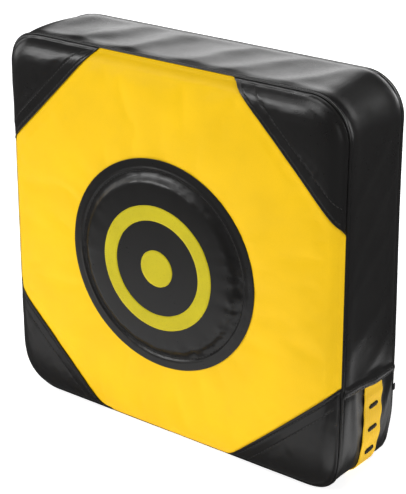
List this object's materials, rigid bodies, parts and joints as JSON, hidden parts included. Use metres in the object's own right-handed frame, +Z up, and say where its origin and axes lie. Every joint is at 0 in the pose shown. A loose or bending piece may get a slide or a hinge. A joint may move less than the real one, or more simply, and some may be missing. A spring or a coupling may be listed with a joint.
{
  "type": "kick shield",
  "caption": "Square padded kick shield with a raised round target, corner panels, boxed sides, a bar-tacked webbing sling and padded grip handles on a zipped back.",
  "frame": {"origin": "centre of the lower edge at mid gusset depth, on the flat underside of the webbing sling", "axes": "+Z up, -Y out of the striking face, +X to the right as seen by someone facing the striking face"},
  "size_m": [0.5022, 0.2066, 0.5],
  "materials": {
    "yellow_vinyl": "coated vinyl, fine leather grain, satin",
    "black_vinyl": "coated vinyl, fine leather grain, satin",
    "yellow_print": "flat printed ink on vinyl",
    "foam": "closed-cell foam, matt",
    "yellow_webbing": "ribbed polyester webbing",
    "black_webbing": "ribbed polyester webbing",
    "black_thread": "bonded thread, satin",
    "zip_teeth": "moulded plastic",
    "zip_metal": "dark plated metal"
  },
  "bodies": {
    "shield": {"back_panel_lower": "black_vinyl", "back_panel_upper": "black_vinyl", "bar_tack_left_lower": "black_thread", "bar_tack_left_middle": "black_thread", "bar_tack_left_upper": "black_thread", "bar_tack_right_lower": "black_thread", "bar_tack_right_middle": "black_thread", "bar_tack_right_upper": "black_thread", "bullseye_dot": "yellow_print", "core_foam": "foam", "corner_panel_bottom_left": "black_vinyl", "corner_panel_bottom_right": "black_vinyl", "corner_panel_top_left": "black_vinyl", "corner_panel_top_right": "black_vinyl", "front_panel": "yellow_vinyl", "front_piping": "black_vinyl", "gusset_lower": "black_vinyl", "gusset_upper": "black_vinyl", "handle_patch_left_lower": "black_vinyl", "handle_patch_left_upper": "black_vinyl", "handle_patch_right_lower": "black_vinyl", "handle_patch_right_upper": "black_vinyl", "handle_sleeve_left": "black_vinyl", "handle_sleeve_right": "black_vinyl", "handle_webbing_left": "black_webbing", "handle_webbing_right": "black_webbing", "rear_foam": "foam", "rear_piping": "black_vinyl", "strike_foam": "foam", "target_cover": "black_vinyl", "target_foam": "foam", "target_ring": "yellow_print", "webbing_strap": "yellow_webbing", "zip_end_tab_left": "black_webbing", "zip_end_tab_right": "black_webbing", "zip_stop_left": "zip_metal", "zip_stop_right": "zip_metal", "zip_tape_lower": "black_webbing", "zip_tape_upper": "black_webbing", "zip_teeth_lower": "zip_teeth", "zip_teeth_upper": "zip_teeth"},
    "zip_slider": {"zip_slider": "zip_metal"},
    "zip_pull": {"zip_pull": "zip_metal"}
  },
  "joints": [
    {"name": "zip_slide", "type": "slide", "parent": "shield", "child": "zip_slider", "axis": [-1, 0, 0], "range_m": [0, 0.344]},
    {"name": "zip_pull_swing", "type": "hinge", "parent": "zip_slider", "child": "zip_pull", "pos_m": [0.172, 0.0702, 0.097], "axis": [0, 0, -1], "range_deg": [0, 180]}
  ]
}
